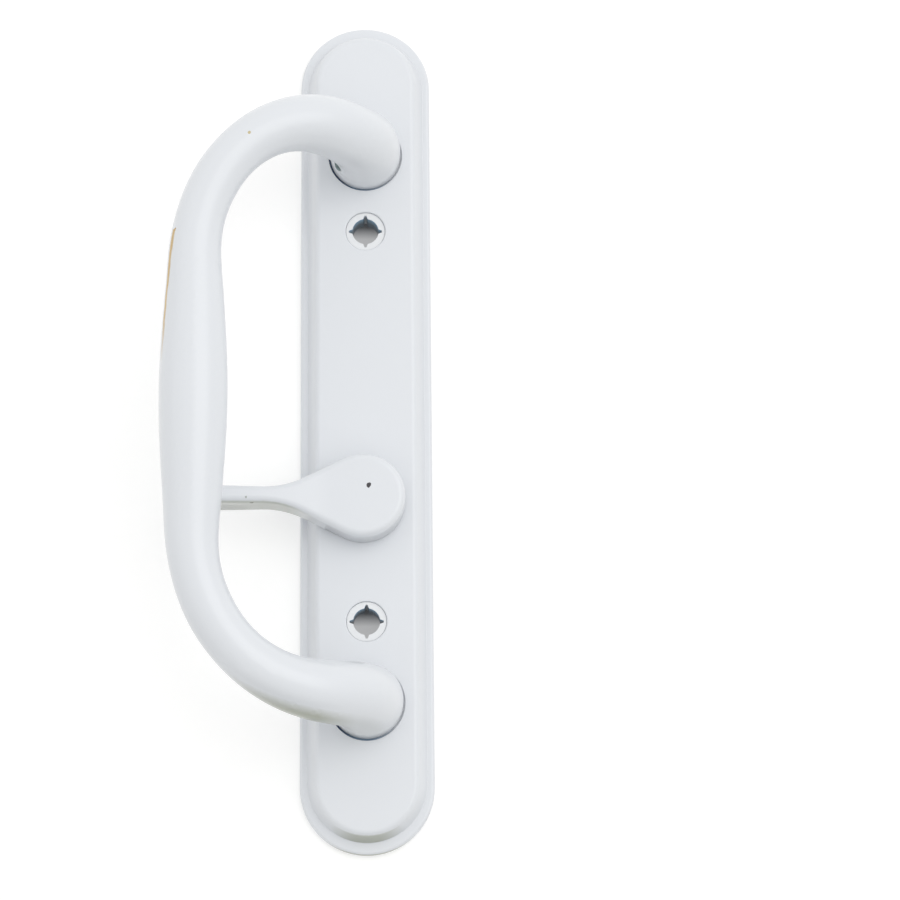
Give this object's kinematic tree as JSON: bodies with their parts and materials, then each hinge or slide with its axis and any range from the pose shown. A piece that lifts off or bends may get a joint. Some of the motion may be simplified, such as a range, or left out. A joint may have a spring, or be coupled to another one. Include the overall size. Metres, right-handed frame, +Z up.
{
  "type": "sliding patio door handle",
  "caption": "White sliding patio door pull: a long stepped backplate with rounded ends, a swelling side-set bow grip, screw holes and a teardrop thumb-turn lever.",
  "frame": {"origin": "centre of the backplate's back face, in the plane that lies against the door", "axes": "+Z up the door along the plate, +Y into the door, +X to the right for a user who faces the handle; the bow stands off to -Y and -X"},
  "size_m": [0.0817, 0.0562, 0.266],
  "materials": {
    "painted_zinc": "cool white gloss powder coat over a zinc casting",
    "white_nylon": "moulded white nylon, satin",
    "natural_acetal": "turned natural acetal, satin",
    "plated_steel": "bright zinc plated steel",
    "black_steel": "black oxide alloy steel",
    "spring_steel": "hardened and oiled spring steel"
  },
  "bodies": {
    "pull": {"backplate": "painted_zinc", "pull_bow": "painted_zinc", "screw_bushes": "white_nylon", "lever_bush": "natural_acetal", "bow_studs": "plated_steel", "stud_washers": "plated_steel", "stud_nuts": "plated_steel", "grub_screws": "black_steel", "spring_washer": "spring_steel"},
    "turn": {"thumb_lever": "painted_zinc", "retaining_ring": "spring_steel", "thrust_washer": "plated_steel"}
  },
  "joints": [
    {"name": "thumb_turn", "type": "hinge", "parent": "pull", "child": "turn", "pos_m": [0, -0.0085, -0.02515], "axis": [0, 1, 0], "range_deg": [0, 90]}
  ]
}
